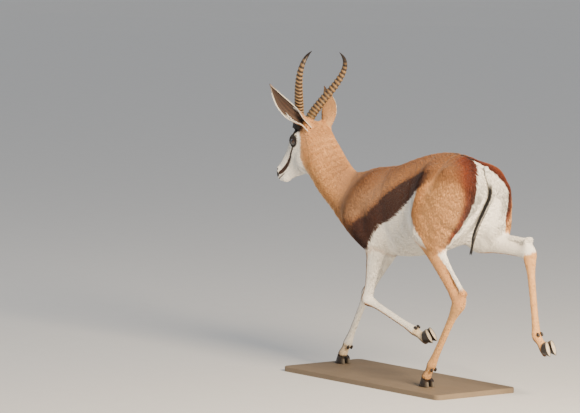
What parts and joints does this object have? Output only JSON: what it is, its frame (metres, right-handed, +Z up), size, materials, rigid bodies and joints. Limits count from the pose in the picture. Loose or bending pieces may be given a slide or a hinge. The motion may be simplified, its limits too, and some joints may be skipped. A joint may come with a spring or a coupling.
{
  "type": "museum model of a springbok",
  "caption": "Life-size museum model of a trotting springbok ram on a thin base, with ringed lyre-shaped horns, cupped ears, cloven hooves and a tufted tail.",
  "frame": {"origin": "the middle of the box around the whole part, at the base's underside", "axes": "the animal faces -X, its left side is -Y, +Z up"},
  "size_m": [1.2962, 0.4036, 1.1516],
  "materials": {
    "tan_coat": "short cinnamon coat",
    "white_coat": "short white coat",
    "leg_coat": "short pale tan coat",
    "horn": "ringed dark horn",
    "hoof": "dark smooth hoof",
    "eye": "wet dark eye",
    "stand": "matt brown paint"
  },
  "bodies": {
    "root": {"head": "white_coat", "left_ear": "tan_coat", "left_eye": "eye", "left_fore_cannon": "leg_coat", "left_fore_claw_inner": "hoof", "left_fore_claw_outer": "hoof", "left_fore_forearm": "leg_coat", "left_fore_pastern": "leg_coat", "left_fore_shoulder": "tan_coat", "left_hind_cannon": "leg_coat", "left_hind_claw_inner": "hoof", "left_hind_claw_outer": "hoof", "left_hind_gaskin": "leg_coat", "left_hind_haunch": "tan_coat", "left_hind_pastern": "leg_coat", "left_horn": "horn", "neck": "tan_coat", "right_ear": "tan_coat", "right_eye": "eye", "right_fore_cannon": "leg_coat", "right_fore_claw_inner": "hoof", "right_fore_claw_outer": "hoof", "right_fore_forearm": "leg_coat", "right_fore_pastern": "leg_coat", "right_fore_shoulder": "tan_coat", "right_hind_cannon": "leg_coat", "right_hind_claw_inner": "hoof", "right_hind_claw_outer": "hoof", "right_hind_gaskin": "leg_coat", "right_hind_haunch": "tan_coat", "right_hind_pastern": "leg_coat", "right_horn": "horn", "stand_base": "stand", "tail": "white_coat", "torso": "tan_coat"}
  },
  "joints": []
}
